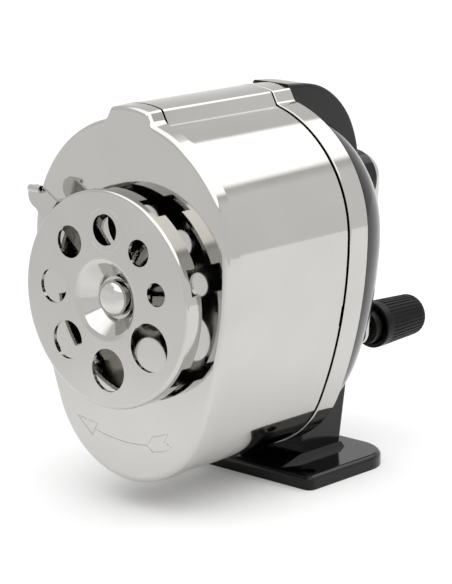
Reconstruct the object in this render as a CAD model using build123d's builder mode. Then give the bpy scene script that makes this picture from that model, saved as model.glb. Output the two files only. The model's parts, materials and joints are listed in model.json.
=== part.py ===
from build123d import *
import math
import os

os.makedirs("parts", exist_ok=True)

# Crank pencil sharpener with a turn-off shavings receptacle.
# X is to the right of a user at the dial, +Y runs back towards the crank, +Z is up.
# The origin is the centre of the base plate's underside. Sizes are in millimetres.

# ---- section of the can (receptacle, collar and bulkhead share it) ----
Z_TOP = 70.0          # centre of the upper half circle
R_TOP = 34.3          # its radius: the sharpener is 68.6 wide
R_SIDE = 120.5        # slack side arcs that draw in below
X_SIDE = R_TOP - R_SIDE
R_BOT = 27.5          # bowl radius at the bottom
Z_BOT = 35.1          # centre of the bowl arc
RIDGE_TOP = 6.7       # half width of the ridge at its shoulder
RIDGE_FOOT = 8.8      # half width of the ridge at its foot
Z_SHOULDER = 106.5
Z_CROWN = 107.4

# ---- stations along Y ----
Y_DIAL = -72.1        # front of the size dial
Y_SKIRT = -66.7       # rear edge of the dial's skirt
Y_FACE = -63.6        # front of the face plate
Y_CAP = -58.3         # rear edge of the front cap's skirt
Y_STRIP = -57.6       # front of the ridge strip
Y_SHELL = -15.5       # rear edge of the receptacle
Y_COLLAR = -14.7      # front of the fixed collar
Y_HOUSE = -7.55       # front of the rear housing
DOME_DEPTH = 30.0

# ---- sheet and fits ----
T_CAP = 0.9           # sheet of the front cap
T_LAP = 0.42          # step from the cap to the shell beneath it
T_SHELL = 0.9
RUN = 0.05            # radial running clearance

# ---- cutter axis and size dial ----
Z_CUT = 76.5          # cutter, crank and twist axis
Z_DIAL = 58.1         # dial pivot
R_DIAL = 28.6
R_PITCH = Z_CUT - Z_DIAL
# size holes: angle from +X towards +Z, diameter
SIZES = [(133.0, 8.55), (90.0, 8.25), (50.0, 7.05), (13.5, 6.2),
         (-32.5, 12.75), (-86.5, 11.4), (-136.5, 10.3), (177.0, 9.3)]
NOTCH_LEAD = 49.5     # each notch leads its hole by this angle
NOTCH_HALF = 7.0
NOTCH_DEPTH = 3.2
RIVET_X = -8.9         # latch rivet
RIVET_Z = 66.2

# ---- planetary cutter head ----
GEAR_M = 0.8
N_RING = 32
N_PINION = 12
Y_GEAR = -12.2
ORBIT_GEAR = GEAR_M * (N_RING - N_PINION) / 2   # 8.0
TILT = 10.5           # cutters lean in towards the point of the pencil
R_MILL = 7.5
R_AXLE = 1.5
R_SHAFT = 3.0

# ---- screws that hold the gear frame to the housing ----
FRAME_SCREWS = [(26.8, 64.5), (-26.8, 64.5), (0.0, 24.0)]

# ---- stand ----
BASE_X = 51.0
BASE_Y = 38.0
BASE_T = 3.9
PED_X = 12.9
PED_Y0 = -7.5
PED_Y1 = 9.3

# ---- crank and knob ----
Z_KNOB = 31.5
Y_KNOB = 38.2
L_KNOB = 19.7
R_KNOB = 6.8
R_KNOB_END = 6.0
Y_PIN = 32.3          # cross pin that keys the arm to the shaft
R_PIN = 0.8


def xz(y):
    """Plane across the cutter axis at station y; local x is X, local y is Z."""
    return Plane(origin=(0, y, 0), x_dir=(1, 0, 0), z_dir=(0, -1, 0))


def egg(inset=0.0):
    """Egg-shaped section of tangent arcs, drawn `inset` inside the outer one."""
    top, side, bot = R_TOP - inset, R_SIDE - inset, R_BOT - inset
    ux, uz = -X_SIDE, Z_BOT - Z_TOP
    length = math.hypot(ux, uz)
    ux, uz = ux / length, uz / length
    a1 = math.atan2(uz, ux)
    join = (X_SIDE + side * ux, Z_TOP + side * uz)
    mid = (X_SIDE + side * math.cos(a1 / 2), Z_TOP + side * math.sin(a1 / 2))
    with BuildSketch(mode=Mode.PRIVATE) as outline:
        with BuildLine():
            CenterArc((0, Z_TOP), top, 0, 180)
            ThreePointArc((top, Z_TOP), mid, join)
            ThreePointArc(join, (0, Z_BOT - bot), (-join[0], join[1]))
            ThreePointArc((-join[0], join[1]), (-mid[0], mid[1]), (-top, Z_TOP))
        make_face()
    return outline.sketch


def ridge(inset=0.0):
    """Seam ridge along the top, with a crowned upper face."""
    t, f = RIDGE_TOP - inset, RIDGE_FOOT - inset
    with BuildSketch(mode=Mode.PRIVATE) as outline:
        with BuildLine():
            Polyline((t, Z_SHOULDER - inset), (f, 102.6), (f, 99.0), (-f, 99.0), (-f, 102.6), (-t, Z_SHOULDER - inset))
            ThreePointArc((-t, Z_SHOULDER - inset), (0, Z_CROWN - inset), (t, Z_SHOULDER - inset))
        make_face()
    return outline.sketch


def can(shoulder, foot):
    """Egg and ridge in one section, eased at the shoulder and at the foot."""
    with BuildSketch(mode=Mode.PRIVATE) as outline:
        add(egg())
        add(ridge())
        fillet([v for v in outline.vertices() if v.Y > 105.0 and abs(v.X) > 4], radius=shoulder)
        fillet([v for v in outline.vertices() if 101.0 < v.Y < 104.5 and 6.5 < abs(v.X) < 10.5], radius=foot)
    return outline.sketch


def egg_half(z, inset=0.0):
    """Half width of the egg section at height z."""
    if z >= Z_TOP:
        return math.sqrt(max((R_TOP - inset) ** 2 - (z - Z_TOP) ** 2, 0.0))
    join = Z_TOP + (R_SIDE - inset) * (Z_BOT - Z_TOP) / math.hypot(-X_SIDE, Z_BOT - Z_TOP)
    if z >= join:
        return X_SIDE + math.sqrt((R_SIDE - inset) ** 2 - (z - Z_TOP) ** 2)
    return math.sqrt(max((R_BOT - inset) ** 2 - (z - Z_BOT) ** 2, 0.0))


def egg_points(n=22):
    """Points round the outer egg section, spaced by angle about its middle."""
    out = []
    for i in range(n):
        a = 2 * math.pi * i / n
        lo, hi = 0.0, 80.0
        for _ in range(50):
            m = (lo + hi) / 2
            x, z = m * math.cos(a), Z_DOME + m * math.sin(a)
            inside = 7.6 < z < 104.3 and abs(x) < egg_half(z)
            lo, hi = (m, hi) if inside else (lo, m)
        out.append((lo * math.cos(a), lo * math.sin(a)))
    return out


# =====================================================================
# rear housing: glossy bowl behind the collar, with the spine rib
# =====================================================================
Z_DOME = 60.0
DOME_K = 0.93
STATIONS = [0.0, 0.22, 0.42, 0.6, 0.76, 0.88, 0.945]
EGG = egg_points()


def dome_solid(wall):
    """Bowl: egg sections that shrink along Y like an ellipse; `wall` is taken off all round."""
    with BuildPart(mode=Mode.PRIVATE) as bowl:
        for i, t in enumerate(STATIONS):
            kz = DOME_K * math.sqrt(1 - t * t)
            kx = DOME_K * (1 - t * t) ** 0.6
            pts = []
            for x, z in EGG:
                r = math.hypot(x * kx, z * kz)
                s = (r - wall) / r
                pts.append((x * kx * s, Z_DOME + z * kz * s))
            y = Y_HOUSE + DOME_DEPTH * t - (wall if i == len(STATIONS) - 1 else 0)
            with BuildSketch(xz(y)):
                with BuildLine():
                    Spline(*pts, periodic=True)
                make_face()
        loft()
    return bowl.part


DOME_OUT = dome_solid(0.0)
DOME_IN = dome_solid(1.8)

with BuildPart(mode=Mode.PRIVATE) as stand_pads:
    with BuildSketch(Plane.XY.offset(10.0)):
        with Locations((7.5, 2.0), (-7.5, 2.0)):
            Circle(3.6)
    extrude(amount=16.5)
    add(DOME_OUT, mode=Mode.INTERSECT)
STAND_PADS = stand_pads.part

with BuildPart() as rear_housing:
    add(DOME_OUT)
    # spine rib, an arch that carries the ridge's line down the back of the bowl
    with BuildSketch(Plane.YZ.offset(-6.4)):
        with BuildLine():
            Spline((Y_HOUSE, 107.5), (-3.0, 107.2), (2.2, 106.6), (6.6, 105.5), (11.3, 103.2), (15.3, 100.2), (19.3, 95.6), (21.6, 91.2), (23.0, 86.8), (23.5, 82.0))
            Polyline((23.5, 82.0), (12.0, 82.0), (Y_HOUSE, 93.0), (Y_HOUSE, 107.5))
        make_face()
    extrude(amount=12.8)
    rib_edges = rear_housing.edges().filter_by(lambda e: e.center().Z > 98 and abs(abs(e.center().X) - 6.4) < 0.02 and e.length > 20)
    fillet(rib_edges, radius=1.0)
    # bearing boss
    with BuildSketch(xz(16.0)):
        with Locations((0, Z_CUT)):
            Circle(8.0)
    extrude(amount=-13.6)
    add(DOME_IN, mode=Mode.SUBTRACT)
    # inner hub behind the boss
    with BuildSketch(xz(14.0)):
        with Locations((0, Z_CUT)):
            Circle(8.0)
    extrude(amount=-15.6)
    # inner pads for the stand screws and the frame screws
    add(STAND_PADS)
    with BuildSketch(xz(Y_HOUSE)):
        with Locations(*FRAME_SCREWS):
            Circle(2.8)
        with Locations((28.7, 64.5), (-28.7, 64.5)):
            Rectangle(3.8, 5.6)
        with Locations((0, 18.4)):
            Rectangle(5.6, 11.2)
    extrude(amount=-5.5)
    with BuildSketch(xz(14.0)):
        with Locations((0, Z_CUT)):
            Circle(5.2)
    extrude(amount=-15.6, mode=Mode.SUBTRACT)
    with BuildSketch(Plane.XY.offset(10.0)):
        with Locations((7.5, 2.0), (-7.5, 2.0)):
            Circle(2.0)
    extrude(amount=14.5, mode=Mode.SUBTRACT)
    with BuildSketch(xz(Y_HOUSE)):
        with Locations(*FRAME_SCREWS):
            Circle(1.5)
    extrude(amount=-5.0, mode=Mode.SUBTRACT)
rear_housing.part.label = "rear_housing"
export_step(rear_housing.part, "parts/rear_housing.step")

# =====================================================================
# stand: screw-down base plate and pedestal
# =====================================================================
with BuildPart() as base_plate:
    with BuildSketch() as s:
        Rectangle(BASE_X, BASE_Y)
        fillet([v for v in s.vertices() if v.Y > 0], radius=11.0)
        fillet([v for v in s.vertices() if v.Y < -BASE_Y / 2 + 0.1], radius=2.0)
    extrude(amount=BASE_T)
    fillet(base_plate.faces().sort_by(Axis.Z)[-1].edges(), radius=1.5)
    # three fixing holes: a pair in the front corners and one behind
    with BuildSketch(Plane.XY):
        with Locations((21.0, -14.6), (-21.0, -14.6), (0, 14.6)):
            Circle(2.0)
    extrude(amount=BASE_T, mode=Mode.SUBTRACT)
    # counterbores and channels for the two screws that hold the bowl
    with BuildSketch(Plane.XY):
        with Locations((7.5, 2.0), (-7.5, 2.0)):
            Circle(4.0)
    extrude(amount=2.6, mode=Mode.SUBTRACT)
    with BuildSketch(Plane.XY):
        with Locations((7.5, 2.0), (-7.5, 2.0)):
            Circle(2.0)
    extrude(amount=BASE_T, mode=Mode.SUBTRACT)
base_plate.part.label = "base_plate"
export_step(base_plate.part, "parts/base_plate.step")

with BuildPart() as pedestal:
    # flared plinth that runs out forwards as a low ramp
    with BuildSketch(Plane.XY.offset(BASE_T)):
        with Locations((0, (-17.2 + PED_Y1 + 0.9) / 2)):
            Rectangle(2 * PED_X + 1.8, PED_Y1 + 0.9 + 17.2)
    with BuildSketch(Plane.XY.offset(BASE_T + 1.6)):
        with Locations((0, (PED_Y0 - 0.9 + PED_Y1 + 0.1) / 2)):
            Rectangle(2 * PED_X + 0.2, PED_Y1 + 0.1 - PED_Y0 + 0.9)
    loft()
    # the column leans back and meets the bowl
    for z, back in ((BASE_T, PED_Y1), (33.0, PED_Y1 + 4.6)):
        with BuildSketch(Plane.XY.offset(z)) as s:
            with Locations((0, (PED_Y0 + back) / 2)):
                Rectangle(2 * PED_X, back - PED_Y0)
            fillet([v for v in s.vertices() if v.Y > 0], radius=1.4)
    loft()
    add(DOME_OUT, mode=Mode.SUBTRACT)
    with BuildSketch(Plane.XY):
        with Locations((7.5, 2.0), (-7.5, 2.0)):
            Circle(2.0)
    extrude(amount=31.0, mode=Mode.SUBTRACT)
pedestal.part.label = "pedestal"
export_step(pedestal.part, "parts/pedestal.step")

with BuildPart() as stand_screws:
    with BuildSketch(Plane.XY.offset(0.5)):
        with Locations((7.5, 2.0), (-7.5, 2.0)):
            Circle(3.6)
    extrude(amount=2.1)
    with BuildSketch(Plane.XY.offset(2.6)):
        with Locations((7.5, 2.0), (-7.5, 2.0)):
            Circle(2.0)
    extrude(amount=21.2)
    with BuildSketch(Plane.XY.offset(0.5)):
        with Locations((7.5, 2.0), (-7.5, 2.0)):
            Rectangle(5.6, 0.9)
    extrude(amount=1.0, mode=Mode.SUBTRACT)
stand_screws.part.label = "stand_screws"
export_step(stand_screws.part, "parts/stand_screws.step")

# =====================================================================
# fixed collar and gear frame
# =====================================================================
COLLAR_SECTION = can(1.3, 1.2)
EGG_FRAME = egg(1.2)
RIDGE_FRAME = ridge(1.2)

with BuildPart() as collar_ring:
    with BuildSketch(xz(Y_COLLAR)):
        add(COLLAR_SECTION)
    extrude(amount=Y_COLLAR - Y_HOUSE)
    with BuildSketch(xz(Y_COLLAR)):
        add(EGG_FRAME)
    extrude(amount=Y_COLLAR - Y_HOUSE, mode=Mode.SUBTRACT)
    with BuildSketch(xz(Y_COLLAR)):
        add(RIDGE_FRAME)
    extrude(amount=Y_COLLAR - Y_HOUSE, mode=Mode.SUBTRACT)
    fillet(collar_ring.faces().sort_by(Axis.Y)[0].outer_wire().edges(), radius=0.35)
collar_ring.part.label = "collar_ring"
export_step(collar_ring.part, "parts/collar_ring.step")

R_SPIGOT = 25.0
with BuildPart() as gear_frame:
    with BuildSketch(xz(-9.9)):
        add(EGG_FRAME)
    extrude(amount=-(9.9 + Y_HOUSE))
    with BuildSketch(xz(-18.7)):
        with Locations((0, Z_CUT)):
            Circle(R_SPIGOT)
    extrude(amount=-8.8)
    with BuildSketch(xz(-18.7)):
        with Locations((0, Z_CUT)):
            Circle(22.8)
    extrude(amount=-8.8, mode=Mode.SUBTRACT)
    # two bayonet lugs
    with BuildSketch(xz(-18.7)):
        with Locations((0, Z_CUT)):
            with PolarLocations(26.0, 2):
                Rectangle(2.8, 5.4)
    extrude(amount=-1.1)
    with BuildSketch(xz(-9.9)):
        with Locations((0, Z_CUT)):
            Circle(15.0)
        with Locations(*FRAME_SCREWS):
            Circle(1.5)
    extrude(amount=-4.0, mode=Mode.SUBTRACT)
gear_frame.part.label = "gear_frame"
export_step(gear_frame.part, "parts/gear_frame.step")

with BuildPart() as frame_screws:
    with BuildSketch(xz(-11.4)):
        with Locations(*FRAME_SCREWS):
            Circle(2.6)
    extrude(amount=-1.5)
    with BuildSketch(xz(-9.9)):
        with Locations(*FRAME_SCREWS):
            Circle(1.5)
    extrude(amount=-6.8)
    with BuildSketch(xz(-11.4)):
        with Locations(*FRAME_SCREWS):
            Rectangle(4.4, 0.7)
    extrude(amount=-0.7, mode=Mode.SUBTRACT)
frame_screws.part.label = "frame_screws"
export_step(frame_screws.part, "parts/frame_screws.step")

with BuildPart() as ring_gear:
    with BuildSketch(xz(-12.5)):
        with Locations((0, Z_CUT)):
            Circle(22.8)
            Circle(GEAR_M * N_RING / 2 + 1.0, mode=Mode.SUBTRACT)
            with PolarLocations(GEAR_M * N_RING / 2 + 0.32, N_RING, start_angle=180.0 / N_RING):
                Trapezoid(1.35, 1.6, 78, rotation=90)
    extrude(amount=-2.4)
ring_gear.part.label = "ring_gear"
export_step(ring_gear.part, "parts/ring_gear.step")

# =====================================================================
# shaft, bushing and carrier
# =====================================================================
with BuildPart() as shaft_bushing:
    with BuildSketch(xz(14.0)):
        with Locations((0, Z_CUT)):
            Circle(5.2)
            Circle(R_SHAFT + RUN, mode=Mode.SUBTRACT)
    extrude(amount=-15.6)
    with BuildSketch(xz(12.6)):
        with Locations((0, Z_CUT)):
            Circle(7.0)
            Circle(R_SHAFT + RUN, mode=Mode.SUBTRACT)
    extrude(amount=-1.4)
shaft_bushing.part.label = "shaft_bushing"
export_step(shaft_bushing.part, "parts/shaft_bushing.step")

with BuildPart() as drive_shaft:
    with BuildSketch(xz(-8.9)):
        with Locations((0, Z_CUT)):
            Circle(R_SHAFT)
    extrude(amount=-(8.9 + 35.0))
    chamfer(drive_shaft.faces().sort_by(Axis.Y)[-1].edges(), length=0.4)
    with BuildSketch(Plane.XY.offset(Z_CUT - 5.0)):
        with Locations((0, Y_PIN)):
            Circle(R_PIN)
    extrude(amount=10.0, mode=Mode.SUBTRACT)
drive_shaft.part.label = "drive_shaft"
export_step(drive_shaft.part, "parts/drive_shaft.step")


def cutter_plane(side, s):
    """Plane across a cutter's own axis, s along it from the gear (positive is back)."""
    a = math.radians(TILT)
    d = Vector(-side * math.sin(a), math.cos(a), 0)
    o = Vector(side * ORBIT_GEAR, Y_GEAR, Z_CUT) + d * s
    return Plane(origin=o, x_dir=Vector(side * math.cos(a), math.sin(a), 0), z_dir=d)


CUTTER_FRONT = -30.5
CUTTER_BACK = -2.2
CUT_AXIS = Axis((0, 0, Z_CUT), (0, 1, 0))

with BuildPart() as cutter_carrier:
    with BuildSketch(xz(-8.9)):
        with Locations((0, Z_CUT)):
            Circle(13.8)
    extrude(amount=-4.4)
    # two side bars
    with BuildSketch(xz(-46.6)):
        with Locations((0, Z_CUT + 9.75), (0, Z_CUT - 9.75)):
            Rectangle(5.0, 3.0)
    extrude(amount=-42.0)
    # front ring that the pencil enters
    with BuildSketch(xz(-46.6)):
        with Locations((0, Z_CUT)):
            Circle(19.5)
    extrude(amount=-2.4)
    with BuildSketch(xz(-46.6)):
        with Locations((0, Z_CUT)):
            Circle(7.0)
    extrude(amount=-2.4, mode=Mode.SUBTRACT)
    with BuildSketch(xz(-8.9)):
        with Locations((0, Z_CUT)):
            Circle(R_SHAFT)
    extrude(amount=-4.4, mode=Mode.SUBTRACT)
    for side in (1, -1):
        with BuildSketch(cutter_plane(side, -36.4)):
            Circle(R_AXLE)
        extrude(amount=43.0, mode=Mode.SUBTRACT)
cutter_carrier.part.label = "cutter_carrier"
export_step(cutter_carrier.part, "parts/cutter_carrier.step")


def star(points, r_out, r_in, turn):
    """Closed saw-tooth outline of a helical cutter."""
    pts = []
    for i in range(points):
        a = 2 * math.pi * i / points + turn
        b = a + 2 * math.pi / points * 0.28
        pts.append((r_out * math.cos(a), r_out * math.sin(a)))
        pts.append((r_in * math.cos(b), r_in * math.sin(b)))
    return pts


with BuildPart() as cutter_a:
    # helical mill
    for i in range(6):
        with BuildSketch(cutter_plane(1, CUTTER_FRONT + (CUTTER_BACK - CUTTER_FRONT) * i / 5)):
            with BuildLine():
                Polyline(*star(14, R_MILL, R_MILL - 0.9, math.radians(11.0) * i), close=True)
            make_face()
    loft(ruled=True)
    # neck and pinion
    with BuildSketch(cutter_plane(1, CUTTER_BACK)):
        Circle(3.4)
    extrude(amount=4.5)
    with BuildSketch(cutter_plane(1, -1.2)):
        Circle(GEAR_M * N_PINION / 2 - 0.95)
        with PolarLocations(GEAR_M * N_PINION / 2 - 0.23, N_PINION):
            Trapezoid(1.55, 1.6, 74, rotation=-90)
    extrude(amount=2.4)
    with BuildSketch(cutter_plane(1, CUTTER_FRONT - 1)):
        Circle(R_AXLE + RUN)
    extrude(amount=36, mode=Mode.SUBTRACT)
cutter_a.part.label = "cutter_a"
export_step(cutter_a.part, "parts/cutter_a.step")

with BuildPart() as cutter_axle_a:
    with BuildSketch(cutter_plane(1, -35.0)):
        Circle(R_AXLE)
    extrude(amount=41.6)
cutter_axle_a.part.label = "cutter_axle_a"
export_step(cutter_axle_a.part, "parts/cutter_axle_a.step")

# the second cutter and axle stand opposite the first
CUTTER_B = cutter_a.part.rotate(CUT_AXIS, 180)
CUTTER_AXLE_B = cutter_axle_a.part.rotate(CUT_AXIS, 180)

with BuildPart() as cutter_b:
    add(CUTTER_B)
cutter_b.part.label = "cutter_b"
export_step(cutter_b.part, "parts/cutter_b.step")

with BuildPart() as cutter_axle_b:
    add(CUTTER_AXLE_B)
cutter_axle_b.part.label = "cutter_axle_b"
export_step(cutter_axle_b.part, "parts/cutter_axle_b.step")

# =====================================================================
# receptacle
# =====================================================================
CAP_SECTION = can(1.3, 2.2)
EGG_SHELL = egg(T_LAP)
EGG_INSIDE = egg(T_LAP + T_SHELL)
RIDGE_OUT = ridge()
RIDGE_IN = ridge(1.0)

with BuildPart() as front_cap:
    with BuildSketch(xz(Y_FACE)):
        add(CAP_SECTION)
    extrude(amount=-(Y_CAP - Y_FACE))
    # the skirt draws in a little towards the face
    cap_front = front_cap.faces().sort_by(Axis.Y)[0]
    chamfer(cap_front.outer_wire().edges(), length=0.3, length2=4.9, reference=cap_front)
    fillet(front_cap.faces().sort_by(Axis.Y)[0].outer_wire().edges(), radius=1.5)
    with BuildSketch(xz(Y_FACE + T_CAP)):
        add(EGG_SHELL)
    extrude(amount=-(Y_CAP - Y_FACE - T_CAP), mode=Mode.SUBTRACT)
    with BuildSketch(xz(Y_FACE + T_CAP + 0.6)):
        add(RIDGE_IN)
    extrude(amount=-(Y_CAP - Y_FACE), mode=Mode.SUBTRACT)
    with BuildSketch(xz(Y_FACE)):
        with Locations((0, Z_CUT)):
            Circle(7.0)
        with Locations((0, Z_DIAL)):
            Circle(2.5)
        with Locations((RIVET_X, RIVET_Z)):
            Circle(1.2)
    extrude(amount=-T_CAP, mode=Mode.SUBTRACT)
front_cap.part.label = "front_cap"
export_step(front_cap.part, "parts/front_cap.step")

with BuildPart() as receptacle_shell:
    with BuildSketch(xz(Y_FACE + T_CAP)):
        add(EGG_SHELL)
    extrude(amount=-(Y_SHELL - Y_FACE - T_CAP))
    with BuildSketch(xz(Y_FACE + T_CAP)):
        add(EGG_INSIDE)
    extrude(amount=-(Y_SHELL - Y_FACE - T_CAP), mode=Mode.SUBTRACT)
    # long slot under the ridge
    with BuildSketch(Plane.XY.offset(99.0)):
        with Locations((0, (Y_FACE + Y_SHELL) / 2)):
            Rectangle(12.4, 60)
    extrude(amount=8, mode=Mode.SUBTRACT)
    # small pry notch at the rear edge
    with BuildSketch(Plane.YZ.offset(25.0)):
        with Locations((Y_SHELL, 49.3)):
            Rectangle(0.5, 5.6)
    extrude(amount=12, mode=Mode.SUBTRACT)
receptacle_shell.part.label = "receptacle_shell"
export_step(receptacle_shell.part, "parts/receptacle_shell.step")

with BuildPart() as ridge_strip:
    with BuildSketch(xz(Y_STRIP)) as s:
        add(RIDGE_OUT)
        fillet([v for v in s.vertices() if v.Y > 105.0], radius=1.3)
    extrude(amount=-(Y_SHELL - Y_STRIP))
    with BuildSketch(xz(Y_STRIP)):
        add(RIDGE_IN)
    extrude(amount=-(Y_SHELL - Y_STRIP), mode=Mode.SUBTRACT)
    with BuildSketch(xz(Y_STRIP)):
        add(EGG_SHELL)
    extrude(amount=-(Y_SHELL - Y_STRIP), mode=Mode.SUBTRACT)
ridge_strip.part.label = "ridge_strip"
export_step(ridge_strip.part, "parts/ridge_strip.step")

with BuildPart() as receptacle_bulkhead:
    with BuildSketch(xz(-17.3)):
        add(EGG_INSIDE)
        with Locations((0, Z_CUT)):
            Circle(R_SPIGOT + 0.3, mode=Mode.SUBTRACT)
            with PolarLocations(26.4, 2, start_angle=18):
                Rectangle(3.0, 6.4, mode=Mode.SUBTRACT)
    extrude(amount=-1.2)
receptacle_bulkhead.part.label = "receptacle_bulkhead"
export_step(receptacle_bulkhead.part, "parts/receptacle_bulkhead.step")

with BuildPart() as pencil_guide:
    with BuildSketch(Plane(origin=(0, 0, Z_CUT), x_dir=(1, 0, 0), z_dir=(0, 0, 1))):
        with BuildLine():
            Polyline((7.2, Y_FACE + T_CAP), (11.4, Y_FACE + T_CAP), (11.4, Y_FACE + T_CAP + 0.9), (8.1, Y_FACE + T_CAP + 0.9),
                     (7.5, -48.2), (6.6, -48.2), close=True)
        make_face()
    revolve(axis=Axis((0, 0, Z_CUT), (0, 1, 0)))
pencil_guide.part.label = "pencil_guide"
export_step(pencil_guide.part, "parts/pencil_guide.step")

# =====================================================================
# size dial and its latch
# =====================================================================
with BuildPart() as size_dial:
    with BuildSketch(Plane(origin=(0, 0, Z_DIAL), x_dir=(1, 0, 0), z_dir=(0, 0, 1))) as s:
        with BuildLine():
            Polyline((2.55, -67.7), (5.6, -67.7), (9.6, -71.5), (10.6, Y_DIAL), (R_DIAL, Y_DIAL), (R_DIAL, Y_SKIRT),
                     (R_DIAL - 1.0, Y_SKIRT), (R_DIAL - 1.0, Y_DIAL + 1.0), (10.9, Y_DIAL + 1.0), (6.0, Y_SKIRT), (2.55, Y_SKIRT), close=True)
        make_face()
        fillet([v for v in s.vertices() if abs(v.X - R_DIAL) < 0.01 and abs(v.Y - Y_DIAL) < 0.01], radius=0.9)
        fillet([v for v in s.vertices() if 8 < v.X < 12 and v.Y < -71.3], radius=1.2)
    revolve(axis=Axis((0, 0, Z_DIAL), (0, 1, 0)))
    with BuildSketch(xz(Y_DIAL)):
        for angle, dia in SIZES:
            a = math.radians(angle)
            with Locations((R_PITCH * math.cos(a), Z_DIAL + R_PITCH * math.sin(a))):
                Circle(dia / 2)
    extrude(amount=-3.0, mode=Mode.SUBTRACT)
    with BuildSketch(xz(Y_SKIRT - NOTCH_DEPTH)):
        for angle, dia in SIZES:
            a = angle + NOTCH_LEAD
            a0, a1 = math.radians(a - NOTCH_HALF), math.radians(a + NOTCH_HALF)
            with BuildLine():
                Polyline((25.5 * math.cos(a0), Z_DIAL + 25.5 * math.sin(a0)), (30 * math.cos(a0), Z_DIAL + 30 * math.sin(a0)),
                         (30 * math.cos(a1), Z_DIAL + 30 * math.sin(a1)), (25.5 * math.cos(a1), Z_DIAL + 25.5 * math.sin(a1)), close=True)
            make_face()
    extrude(amount=-(NOTCH_DEPTH + 1), mode=Mode.SUBTRACT)
size_dial.part.label = "size_dial"
export_step(size_dial.part, "parts/size_dial.step")

with BuildPart() as dial_rivet:
    with BuildSketch(Plane(origin=(0, 0, Z_DIAL), x_dir=(1, 0, 0), z_dir=(0, 0, 1))):
        with BuildLine():
            # low dome on a short neck, undercut so that it stands clear of the dish
            Polyline((4.75, -68.95), (4.3, -68.6), (3.3, -68.6), (3.3, -67.75), (2.5, -67.75), (2.5, -62.7), (4.0, -62.7), (4.0, -61.6), (3.2, -61.2), (0, -61.2), (0, -71.45))
            Spline((0, -71.45), (1.818, -71.26), (3.359, -70.718), (4.388, -69.907), (4.75, -68.95), tangents=((1, 0), (0, 1)))
        make_face()
    revolve(axis=Axis((0, 0, Z_DIAL), (0, 1, 0)))
dial_rivet.part.label = "dial_rivet"
export_step(dial_rivet.part, "parts/dial_rivet.step")

with BuildPart() as dial_spring:
    with BuildSketch(Plane(origin=(0, 0, Z_DIAL), x_dir=(1, 0, 0), z_dir=(0, 0, 1))):
        with BuildLine():
            Polyline((2.6, -66.62), (3.4, -66.62), (6.6, -64.2), (6.6, Y_FACE), (5.9, Y_FACE), (5.9, -64.1), (2.6, -66.1), close=True)
        make_face()
    revolve(axis=Axis((0, 0, Z_DIAL), (0, 1, 0)))
dial_spring.part.label = "dial_spring"
export_step(dial_spring.part, "parts/dial_spring.step")

# latch: flat spring from a rivet behind the dial, stepped forward just past the skirt;
# its ear stands clear of the face and ends in a small roll
LATCH_S = Vector(-0.756, 0, 0.654)
LATCH_O = Vector(RIVET_X, 0, RIVET_Z)
LATCH_SIDE = Plane(origin=LATCH_O, x_dir=LATCH_S, z_dir=LATCH_S.cross(Vector(0, 1, 0)))
LATCH_TAB = Plane(origin=LATCH_O + Vector(0, -75, 0), x_dir=LATCH_S, z_dir=(0, 1, 0))

with BuildPart() as dial_latch:
    with BuildSketch(LATCH_SIDE) as s:
        with BuildLine():
            Polyline((-3.2, -65.05), (17.9, -65.05), (17.9, -69.5), (27.0, -69.5), (27.0, -70.4), (17.0, -70.4), (17.0, -66.05), (-3.2, -66.05), close=True)
        make_face()
    extrude(amount=6.0, both=True)
    with BuildSketch(LATCH_TAB):
        with BuildLine():
            Polyline((-3.2, 0), (-1.6, -2.8), (14.0, -3.2), (21.3, -2.5))
            ThreePointArc((21.3, -2.5), (24.6, -2.45), (26.1, -1.0))
            ThreePointArc((26.1, -1.0), (26.3, 0.7), (25.4, 2.1))
            Polyline((25.4, 2.1), (23.6, 3.45), (16.4, 4.8), (-1.6, 2.8), (-3.2, 0))
        make_face()
    extrude(amount=12.0, mode=Mode.INTERSECT)
    # roll along the ear's upper edge
    with BuildSketch(Plane(origin=(-27.7, -70.95, 83.5), x_dir=(0, 1, 0), z_dir=(1, 0, 0))):
        Circle(1.0)
    extrude(amount=3.7)
    with Locations((-27.7, -70.95, 83.5)):
        Sphere(1.0)
    with BuildSketch(Plane(origin=(-27.2, -70.95, 83.5), x_dir=(0, 1, 0), z_dir=(1, 0, 0))):
        Circle(0.5)
    extrude(amount=4.0, mode=Mode.SUBTRACT)
    with BuildSketch(LATCH_TAB):
        Circle(1.4)
    extrude(amount=12.0, mode=Mode.SUBTRACT)
dial_latch.part.label = "dial_latch"
export_step(dial_latch.part, "parts/dial_latch.step")

with BuildPart() as latch_rivet:
    with BuildSketch(xz(-66.75)):
        with Locations((RIVET_X, RIVET_Z)):
            Circle(2.2)
    extrude(amount=-0.65)
    with BuildSketch(xz(-66.1)):
        with Locations((RIVET_X, RIVET_Z)):
            Circle(1.2)
    extrude(amount=-5.0)
    with BuildSketch(xz(Y_FACE + T_CAP)):
        with Locations((RIVET_X, RIVET_Z)):
            Circle(2.2)
    extrude(amount=-0.8)
    with BuildSketch(xz(-65.0)):
        with Locations((RIVET_X, RIVET_Z)):
            Circle(2.2)
    extrude(amount=-1.4)
latch_rivet.part.label = "latch_rivet"
export_step(latch_rivet.part, "parts/latch_rivet.step")

# =====================================================================
# crank arm, knob
# =====================================================================
Y_ARM0 = 30.4
Y_SEAT = 34.9         # seat of the knob's sleeve on the back of the arm


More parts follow.
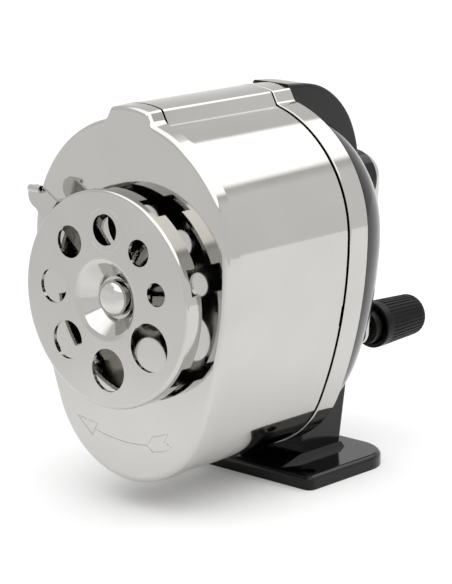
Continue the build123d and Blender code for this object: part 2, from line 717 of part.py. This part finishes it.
def arm_outline(r0, r1, gap):
    """Pear outline of the crank arm: wide at the shaft, narrower at the knob."""
    sn = (r0 - r1) / gap
    cs = math.sqrt(1 - sn * sn)
    with BuildSketch(mode=Mode.PRIVATE) as outline:
        with BuildLine():
            Line((r0 * cs, -r0 * sn), (r1 * cs, -gap - r1 * sn))
            ThreePointArc((r1 * cs, -gap - r1 * sn), (0, -gap - r1), (-r1 * cs, -gap - r1 * sn))
            Line((-r1 * cs, -gap - r1 * sn), (-r0 * cs, -r0 * sn))
            ThreePointArc((-r0 * cs, -r0 * sn), (0, r0), (r0 * cs, -r0 * sn))
        make_face()
    return outline.sketch


# stations of the pressed arm: y at the shaft, y at the knob, radius at each
ARM = [(Y_ARM0, Y_ARM0, 7.0, 4.7), (31.7, 31.8, 6.9, 4.6), (32.9, 33.1, 6.4, 4.2), (34.0, 34.2, 5.4, 3.5), (34.7, 35.0, 4.0, 2.7)]
ARM_GAP = Z_CUT - Z_KNOB
ARM_SECTIONS = []
for y_top, y_bot, r_top, r_bot in ARM:
    tilt = math.atan2(y_top - y_bot, ARM_GAP)
    at = Plane(origin=(0, y_top, Z_CUT), x_dir=(1, 0, 0), z_dir=(0, -math.cos(tilt), math.sin(tilt)))
    ARM_SECTIONS.append(at * arm_outline(r_top, r_bot, ARM_GAP / math.cos(tilt)))
ARM_IN = Plane(origin=(0, Y_ARM0, Z_CUT), x_dir=(1, 0, 0), z_dir=(0, -1, 0)) * arm_outline(5.6, 3.3, ARM_GAP)

with BuildPart() as crank_arm:
    loft(ARM_SECTIONS)
    # pressed hollow, open to the front
    extrude(ARM_IN, amount=-1.8, mode=Mode.SUBTRACT)
    with BuildSketch(xz(Y_ARM0)):
        with Locations((0, Z_CUT)):
            Circle(4.9)
    extrude(amount=-2.4)
    with BuildSketch(xz(Y_ARM0)):
        with Locations((0, Z_KNOB)):
            Circle(3.3)
    extrude(amount=-2.4)
    with BuildSketch(xz(Y_ARM0 - 1)):
        with Locations((0, Z_CUT)):
            Circle(R_SHAFT)
    extrude(amount=-8, mode=Mode.SUBTRACT)
    with BuildSketch(xz(Y_ARM0 - 1)):
        with Locations((0, Z_KNOB)):
            Circle(1.6)
    extrude(amount=-8, mode=Mode.SUBTRACT)
    # flat seat for the knob's sleeve
    with BuildSketch(xz(Y_SEAT)):
        with Locations((0, Z_KNOB)):
            Circle(5.5)
    extrude(amount=-4, mode=Mode.SUBTRACT)
    with BuildSketch(Plane.XY.offset(Z_CUT - 4.9)):
        with Locations((0, Y_PIN)):
            Circle(R_PIN)
    extrude(amount=9.8, mode=Mode.SUBTRACT)
crank_arm.part.label = "crank_arm"
export_step(crank_arm.part, "parts/crank_arm.step")

with BuildPart() as shaft_pin:
    with BuildSketch(Plane.XY.offset(Z_CUT - 4.8)):
        with Locations((0, Y_PIN)):
            Circle(R_PIN)
    extrude(amount=9.6)
shaft_pin.part.label = "shaft_pin"
export_step(shaft_pin.part, "parts/shaft_pin.step")

with BuildPart() as knob_axle:
    with BuildSketch(xz(Y_ARM0 - 0.8)):
        with Locations((0, Z_KNOB)):
            Circle(3.0)
    extrude(amount=-0.8)
    with BuildSketch(xz(Y_ARM0)):
        with Locations((0, Z_KNOB)):
            Circle(1.6)
    extrude(amount=-(Y_KNOB + L_KNOB - 3.2 - Y_ARM0))
    with BuildSketch(xz(Y_KNOB + L_KNOB - 3.2)):
        with Locations((0, Z_KNOB)):
            Circle(3.1)
    extrude(amount=-1.2)
knob_axle.part.label = "knob_axle"
export_step(knob_axle.part, "parts/knob_axle.step")

with BuildPart() as knob_sleeve:
    with BuildSketch(xz(Y_SEAT)):
        with Locations((0, Z_KNOB)):
            Circle(3.4)
            Circle(1.6, mode=Mode.SUBTRACT)
    extrude(amount=-(43.0 - Y_SEAT))
    # collar against the arm
    with BuildSketch(xz(Y_SEAT)):
        with Locations((0, Z_KNOB)):
            Circle(5.1)
            Circle(1.6, mode=Mode.SUBTRACT)
    extrude(amount=-2.6)
knob_sleeve.part.label = "knob_sleeve"
export_step(knob_sleeve.part, "parts/knob_sleeve.step")

FLUTE_Y0 = Y_KNOB + 2.9
FLUTE_LEAN = math.degrees(math.atan2(R_KNOB - R_KNOB_END, L_KNOB - 2.4))
FLUTES = []
for i in range(36):
    a = 2 * math.pi * i / 36
    at = Plane(origin=(0, 0, Z_KNOB), x_dir=(math.cos(a), 0, math.sin(a)), z_dir=(0, 1, 0))
    mid = FLUTE_Y0 + L_KNOB / 2
    reach = R_KNOB - 0.04 - (mid - Y_KNOB - 2.4) * math.tan(math.radians(FLUTE_LEAN))
    FLUTES.append(at.location * Location((reach, 0, mid), (0, -FLUTE_LEAN, 0)))

with BuildPart() as knob:
    with BuildSketch(Plane(origin=(0, 0, Z_KNOB), x_dir=(1, 0, 0), z_dir=(0, 0, 1))) as s:
        with BuildLine():
            Polyline((R_KNOB, Y_KNOB), (R_KNOB, Y_KNOB + 2.4), (R_KNOB_END, Y_KNOB + L_KNOB), (3.6, Y_KNOB + L_KNOB), (3.6, Y_KNOB + L_KNOB - 3.25),
                     (1.65, Y_KNOB + L_KNOB - 3.25), (1.65, 43.35), (5.4, 43.35), (5.7, Y_KNOB), close=True)
        make_face()
        fillet([v for v in s.vertices() if abs(v.X - R_KNOB_END) < 0.01 and v.Y > 50], radius=1.9)
        fillet([v for v in s.vertices() if abs(v.X - R_KNOB) < 0.01 and v.Y < Y_KNOB + 0.1], radius=0.5)
    revolve(axis=Axis((0, 0, Z_KNOB), (0, 1, 0)))
    # fluted grip: shallow round grooves that follow the taper
    with Locations(*FLUTES):
        Cylinder(radius=0.36, height=L_KNOB, mode=Mode.SUBTRACT)
knob.part.label = "knob"
export_step(knob.part, "parts/knob.step")

with BuildPart() as knob_plug:
    with BuildSketch(xz(Y_KNOB + L_KNOB - 1.6)):
        with Locations((0, Z_KNOB)):
            Circle(3.6)
    extrude(amount=-1.4)
    fillet(knob_plug.faces().sort_by(Axis.Y)[-1].edges(), radius=0.4)
knob_plug.part.label = "knob_plug"
export_step(knob_plug.part, "parts/knob_plug.step")
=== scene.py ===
import json
import math

import bpy
from mathutils import Matrix, Vector


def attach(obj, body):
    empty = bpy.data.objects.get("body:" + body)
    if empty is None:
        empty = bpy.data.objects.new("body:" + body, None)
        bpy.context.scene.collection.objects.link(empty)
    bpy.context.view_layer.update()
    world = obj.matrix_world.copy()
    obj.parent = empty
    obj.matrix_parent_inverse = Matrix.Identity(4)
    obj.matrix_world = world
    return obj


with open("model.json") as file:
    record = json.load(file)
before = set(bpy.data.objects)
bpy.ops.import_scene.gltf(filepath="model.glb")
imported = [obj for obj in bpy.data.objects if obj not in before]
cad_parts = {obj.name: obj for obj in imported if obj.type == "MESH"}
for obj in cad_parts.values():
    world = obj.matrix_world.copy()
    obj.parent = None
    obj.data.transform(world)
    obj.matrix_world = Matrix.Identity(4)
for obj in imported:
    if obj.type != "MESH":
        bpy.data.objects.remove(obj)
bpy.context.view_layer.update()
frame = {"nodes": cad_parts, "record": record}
NODES = frame["nodes"]
MM = 0.001


# ---------------------------------------------------------------- materials
def new_material(name):
    mat = bpy.data.materials.new(name)
    mat.use_nodes = True
    nt = mat.node_tree
    nt.nodes.clear()
    out = nt.nodes.new("ShaderNodeOutputMaterial")
    bsdf = nt.nodes.new("ShaderNodeBsdfPrincipled")
    nt.links.new(bsdf.outputs["BSDF"], out.inputs["Surface"])
    return mat, nt, bsdf


def noise(nt, scale, detail=4.0, rough=0.55, stretch=(1, 1, 1), distort=0.0):
    tc = nt.nodes.new("ShaderNodeTexCoord")
    mp = nt.nodes.new("ShaderNodeMapping")
    mp.inputs["Scale"].default_value = stretch
    nt.links.new(tc.outputs["Object"], mp.inputs["Vector"])
    nz = nt.nodes.new("ShaderNodeTexNoise")
    nz.inputs["Scale"].default_value = scale
    nz.inputs["Detail"].default_value = detail
    nz.inputs["Roughness"].default_value = rough
    nz.inputs["Distortion"].default_value = distort
    nt.links.new(mp.outputs["Vector"], nz.inputs["Vector"])
    return nz


def ramp(nt, source, stops):
    rp = nt.nodes.new("ShaderNodeValToRGB")
    els = rp.color_ramp.elements
    while len(els) < len(stops):
        els.new(0.5)
    for el, (pos, col) in zip(els, stops):
        el.position = pos
        el.color = (col[0], col[1], col[2], 1.0) if isinstance(col, (tuple, list)) else (col, col, col, 1.0)
    nt.links.new(source, rp.inputs["Fac"])
    return rp


def bump(nt, bsdf, source, strength, distance):
    bp = nt.nodes.new("ShaderNodeBump")
    bp.inputs["Strength"].default_value = strength
    bp.inputs["Distance"].default_value = distance
    nt.links.new(source, bp.inputs["Height"])
    nt.links.new(bp.outputs["Normal"], bsdf.inputs["Normal"])


def metal(name, dark, light, r0, r1, scale=900.0, stretch=(1, 1, 1), bump_strength=0.02, anis=0.0):
    """Plated or bare metal: faint tone drift, uneven polish and a fine surface."""
    mat, nt, b = new_material(name)
    b.inputs["Metallic"].default_value = 1.0
    drift = noise(nt, 55.0, 3.0, 0.5)
    tone = ramp(nt, drift.outputs["Fac"], [(0.3, dark), (0.7, light)])
    nt.links.new(tone.outputs["Color"], b.inputs["Base Color"])
    polish = noise(nt, scale, 6.0, 0.6, stretch)
    rr = ramp(nt, polish.outputs["Fac"], [(0.3, r0), (0.75, r1)])
    nt.links.new(rr.outputs["Color"], b.inputs["Roughness"])
    if bump_strength > 0:
        bump(nt, b, polish.outputs["Fac"], bump_strength, 0.00004)
    return mat


def enamel(name, dark, light, r0, r1, coat, peel=0.08, spec=0.5):
    """Stoved black enamel with a slight orange peel."""
    mat, nt, b = new_material(name)
    drift = noise(nt, 90.0, 4.0, 0.6)
    tone = ramp(nt, drift.outputs["Fac"], [(0.3, dark), (0.7, light)])
    nt.links.new(tone.outputs["Color"], b.inputs["Base Color"])
    fine = noise(nt, 700.0, 3.0, 0.5)
    rr = ramp(nt, fine.outputs["Fac"], [(0.3, r0), (0.7, r1)])
    nt.links.new(rr.outputs["Color"], b.inputs["Roughness"])
    b.inputs["Coat Weight"].default_value = coat
    b.inputs["Specular IOR Level"].default_value = spec
    b.inputs["Coat Roughness"].default_value = 0.05
    bump(nt, b, fine.outputs["Fac"], peel, 0.00006)
    return mat


MATS = {
    "nickel_shell": metal("nickel_shell", (0.520, 0.512, 0.492), (0.545, 0.537, 0.516), 0.05, 0.10, 700.0, (1, 0.15, 1), 0.012),
    "nickel_arm": metal("nickel_arm", (0.50, 0.49, 0.47), (0.54, 0.53, 0.51), 0.08, 0.16, 900.0, (1, 1, 1), 0.03),
    "nickel_dial": metal("nickel_dial", (0.515, 0.507, 0.487), (0.540, 0.532, 0.511), 0.06, 0.11, 800.0, (1, 1, 1), 0.012),
    "bright_rivet": metal("bright_rivet", (0.55, 0.54, 0.52), (0.60, 0.59, 0.57), 0.04, 0.08, 1200.0, (1, 1, 1), 0.01),
    "spring_steel": metal("spring_steel", (0.50, 0.49, 0.47), (0.54, 0.53, 0.51), 0.07, 0.14, 1500.0, (1, 1, 4), 0.05),
    "plain_sheet": metal("plain_sheet", (0.30, 0.27, 0.23), (0.38, 0.34, 0.30), 0.22, 0.38, 900.0, (4, 1, 1), 0.10),
    "die_cast": metal("die_cast", (0.13, 0.11, 0.095), (0.21, 0.18, 0.16), 0.40, 0.62, 1600.0, (1, 1, 1), 0.35),
    "bushing_brass": metal("bushing_brass", (0.55, 0.40, 0.18), (0.66, 0.50, 0.25), 0.28, 0.45, 1800.0, (1, 1, 1), 0.12),
    "turned_steel": metal("turned_steel", (0.42, 0.42, 0.42), (0.54, 0.54, 0.53), 0.18, 0.32, 1500.0, (1, 8, 1), 0.10),
    "cutter_steel": metal("cutter_steel", (0.12, 0.10, 0.09), (0.22, 0.19, 0.17), 0.22, 0.40, 1300.0, (1, 1, 1), 0.12),
    "zinc_screw": metal("zinc_screw", (0.48, 0.48, 0.46), (0.60, 0.60, 0.57), 0.22, 0.38, 1500.0, (1, 1, 1), 0.10),
    "black_enamel": enamel("black_enamel", (0.0008, 0.0008, 0.0010), (0.0024, 0.0024, 0.0028), 0.07, 0.13, 0.0, 0.05, 0.30),
    "knob_plastic": enamel("knob_plastic", (0.002, 0.002, 0.002), (0.004, 0.004, 0.004), 0.30, 0.42, 0.0, 0.10, 0.16),
}
SLOT_OF = {s["node"]: s["material_slot"] for s in frame["record"]["subparts"]}
for node, obj in NODES.items():
    obj.data.materials.clear()
    obj.data.materials.append(MATS[SLOT_OF[node]] if SLOT_OF[node] in MATS else MATS["nickel_shell"])


# ---------------------------------------------------------------- small pieces
def tube(name, points, radius, mat, closed=False, flat=1.0):
    """A pressed bead: a round bar along a line of points, in millimetres."""
    cu = bpy.data.curves.new(name, "CURVE")
    cu.dimensions = "3D"
    cu.bevel_depth = radius * MM
    cu.bevel_resolution = 3
    cu.use_fill_caps = True
    sp = cu.splines.new("POLY")
    sp.points.add(len(points) - 1)
    for p, q in zip(sp.points, points):
        p.co = (q[0] * MM, q[1] * MM, q[2] * MM, 1.0)
    sp.use_cyclic_u = closed
    ob = bpy.data.objects.new(name, cu)
    bpy.context.scene.collection.objects.link(ob)
    dg = bpy.context.evaluated_depsgraph_get()
    me = bpy.data.meshes.new_from_object(ob.evaluated_get(dg))
    bpy.data.objects.remove(ob)
    for poly in me.polygons:
        poly.use_smooth = True
    me.materials.append(mat)
    out = bpy.data.objects.new(name, me)
    bpy.context.scene.collection.objects.link(out)
    return out


def arc(cx, cz, r, a0, a1, n, y):
    pts = []
    for i in range(n + 1):
        a = math.radians(a0 + (a1 - a0) * i / n)
        pts.append((cx + r * math.cos(a), y, cz + r * math.sin(a)))
    return pts


# raised ring round the dial's top hole
ring = tube("dial_hole_bead", arc(0, 76.5, 5.75, 0, 354, 59, -71.99), 0.17, MATS["nickel_dial"], closed=True)
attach(ring, "dial")

# curved arrow pressed in outline into the lower face, without its words
FACE_Y = -63.62
for name, line, loop in (
    ("arrow_head", [(-18.3, 22.3), (-14.6, 21.8), (-11.2, 21.4), (-11.5, 20.5), (-12.0, 19.8), (-12.4, 18.6), (-12.8, 17.9), (-15.4, 20.0)], True),
    ("arrow_shaft", [(-11.8, 19.7), (-9.4, 19.1), (-6.4, 18.7), (-3.2, 18.4), (0.1, 18.3), (3.2, 18.5), (6.6, 18.9)], False),
    ("arrow_tail", [(6.9, 18.9), (8.9, 21.7), (10.6, 22.1), (12.4, 22.8), (14.1, 23.6), (13.5, 22.2), (13.1, 21.0), (14.3, 20.6), (15.7, 20.0), (12.6, 18.4), (9.0, 17.6)], True),
):
    piece = tube(name, [(x, FACE_Y, z) for x, z in line], 0.13, MATS["nickel_shell"], closed=loop)
    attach(piece, "receptacle")

# ---------------------------------------------------------------- camera
cam_data = bpy.data.cameras.new("camera")
cam = bpy.data.objects.new("camera", cam_data)
bpy.context.scene.collection.objects.link(cam)
cam_data.sensor_fit = "HORIZONTAL"
cam_data.sensor_width = 36.0
cam_data.lens = 202.38
cam_data.shift_x = -0.0026
cam_data.shift_y = 0.0044
cam_data.dof.use_dof = False
cam_data.clip_start = 0.01
cam_data.clip_end = 20.0
fwd = Vector((-0.64207, 0.73094, -0.23124)).normalized()
right0 = Vector((fwd.y, -fwd.x, 0)).normalized()
up0 = right0.cross(fwd)
roll = math.radians(0.51)
right = right0 * math.cos(roll) + up0 * math.sin(roll)
up = up0 * math.cos(roll) - right0 * math.sin(roll)
m = Matrix((right, up, -fwd)).transposed().to_4x4()
m.translation = Vector((0.4404, -0.5260, 0.2102))
cam.matrix_world = m
bpy.context.scene.camera = cam

# ---------------------------------------------------------------- studio
def stage_plane(name, corners, mat):
    me = bpy.data.meshes.new(name)
    me.from_pydata([Vector(c) for c in corners], [], [list(range(len(corners)))])
    me.materials.append(mat)
    ob = bpy.data.objects.new(name, me)
    bpy.context.scene.collection.objects.link(ob)
    return ob


# floor colour is not even: it holds painted shade and painted light, tuned for what the metal reflects and for the
# cast shadow
floor_painted_mat, nt, b = new_material("floor_paper_painted_shade_and_light")
tc = nt.nodes.new("ShaderNodeTexCoord")
mp = nt.nodes.new("ShaderNodeMapping")
mp.vector_type = "TEXTURE"
mp.inputs["Location"].default_value = (0.05, 0.05, 0.0)
mp.inputs["Rotation"].default_value = (0.0, 0.0, math.radians(229.0))
mp.inputs["Scale"].default_value = (0.45, 0.45, 1.0)
gr = nt.nodes.new("ShaderNodeTexGradient")
nt.links.new(tc.outputs["Object"], mp.inputs["Vector"])
nt.links.new(mp.outputs["Vector"], gr.inputs["Vector"])
# painted shade: floor colour falls from 0.80 to 0.61 towards the front-left, so its reflection in the face and dial is
# dimmer
floor_painted_shade = ramp(nt, gr.outputs["Fac"], [(0.0, 0.80), (0.22, 0.77), (0.9, 0.61)])
# painted light: a round patch about the object lifts the floor colour to 0.90 to lighten the shadow cast under the
# object
tc2 = nt.nodes.new("ShaderNodeTexCoord")
mp2 = nt.nodes.new("ShaderNodeMapping")
mp2.vector_type = "TEXTURE"
mp2.inputs["Location"].default_value = (-0.012, -0.040, 0.0)
mp2.inputs["Scale"].default_value = (0.17, 0.17, 1.0)
nt.links.new(tc2.outputs["Object"], mp2.inputs["Vector"])
painted_light_falloff = nt.nodes.new("ShaderNodeTexGradient")
painted_light_falloff.gradient_type = "SPHERICAL"
nt.links.new(mp2.outputs["Vector"], painted_light_falloff.inputs["Vector"])
painted_light_spot = ramp(nt, painted_light_falloff.outputs["Fac"], [(0.0, 0.0), (0.45, 0.6), (1.0, 1.0)])
painted_light_lift = nt.nodes.new("ShaderNodeMix")
painted_light_lift.data_type = "RGBA"
nt.links.new(painted_light_spot.outputs["Color"], painted_light_lift.inputs["Factor"])
nt.links.new(floor_painted_shade.outputs["Color"], painted_light_lift.inputs["A"])
painted_light_lift.inputs["B"].default_value = (0.90, 0.90, 0.90, 1.0)
nt.links.new(painted_light_lift.outputs["Result"], b.inputs["Base Color"])
b.inputs["Roughness"].default_value = 0.9
b.inputs["Specular IOR Level"].default_value = 0.0
stage_plane("floor", [(-4.0, -2.5, 0), (0.47, -2.5, 0), (0.47, 4.0, 0), (-4.0, 4.0, 0)], floor_painted_mat)

world = bpy.data.worlds.new("studio")
bpy.context.scene.world = world
world.use_nodes = True
wt = world.node_tree
wt.nodes.clear()
w_out = wt.nodes.new("ShaderNodeOutputWorld")
w_bg = wt.nodes.new("ShaderNodeBackground")
wt.links.new(w_bg.outputs["Background"], w_out.inputs["Surface"])
w_tc = wt.nodes.new("ShaderNodeTexCoord")
w_sep = wt.nodes.new("ShaderNodeSeparateXYZ")
wt.links.new(w_tc.outputs["Generated"], w_sep.inputs["Vector"])


def w_math(op, a, b_):
    n = wt.nodes.new("ShaderNodeMath")
    n.operation = op
    for i, v in enumerate((a, b_)):
        if v is None:
            continue
        if isinstance(v, (int, float)):
            n.inputs[i].default_value = v
        else:
            wt.links.new(v, n.inputs[i])
    return n.outputs[0]


def w_ramp(src, stops):
    rp = wt.nodes.new("ShaderNodeValToRGB")
    els = rp.color_ramp.elements
    while len(els) < len(stops):
        els.new(0.5)
    for el, (pos, v) in zip(els, stops):
        el.position = pos
        c = v if isinstance(v, tuple) else (v, v, v)
        el.color = (c[0], c[1], c[2], 1.0)
    wt.links.new(src, rp.inputs["Fac"])
    return rp.outputs["Color"]


# elevation 0..1 from straight down to straight up
z01 = w_math("MULTIPLY_ADD", w_sep.outputs["Z"], 0.5)
z01.node.inputs[2].default_value = 0.5
S = 0.3
# the room to the right: grey wall, a dark gap, then the big soft box
room = w_ramp(z01, [(0.0, 0.90 * S), (0.50, 0.90 * S), (0.728, 0.92 * S), (0.752, 0.72 * S), (0.762, 0.70 * S), (0.776, 1.95 * S), (0.86, 2.1 * S), (1.0, 1.9 * S)])
# the paper sweep behind and to the left, with the ceiling above it
sweep = w_ramp(z01, [(0.0, 1.02 * S), (0.50, 0.95 * S), (0.62, 0.84 * S), (0.70, 0.80 * S), (0.84, 0.82 * S), (0.90, 1.8 * S), (1.0, 1.9 * S)])
# side mask: 1 to the right of the object
side = w_math("MULTIPLY_ADD", w_sep.outputs["X"], 0.5)
side.node.inputs[2].default_value = 0.5
side_mask = w_ramp(side, [(0.412, 0.0), (0.432, 1.0)])
mix = wt.nodes.new("ShaderNodeMix")
mix.data_type = "RGBA"
wt.links.new(side_mask, mix.inputs["Factor"])
wt.links.new(sweep, mix.inputs["A"])
wt.links.new(room, mix.inputs["B"])
wt.links.new(mix.outputs["Result"], w_bg.inputs["Color"])
w_bg.inputs["Strength"].default_value = 1.0 / S

bpy.context.scene.view_settings.view_transform = "Standard"
bpy.context.scene.view_settings.look = "None"
bpy.context.scene.view_settings.exposure = 0.0
bpy.context.scene.view_settings.gamma = 1.0
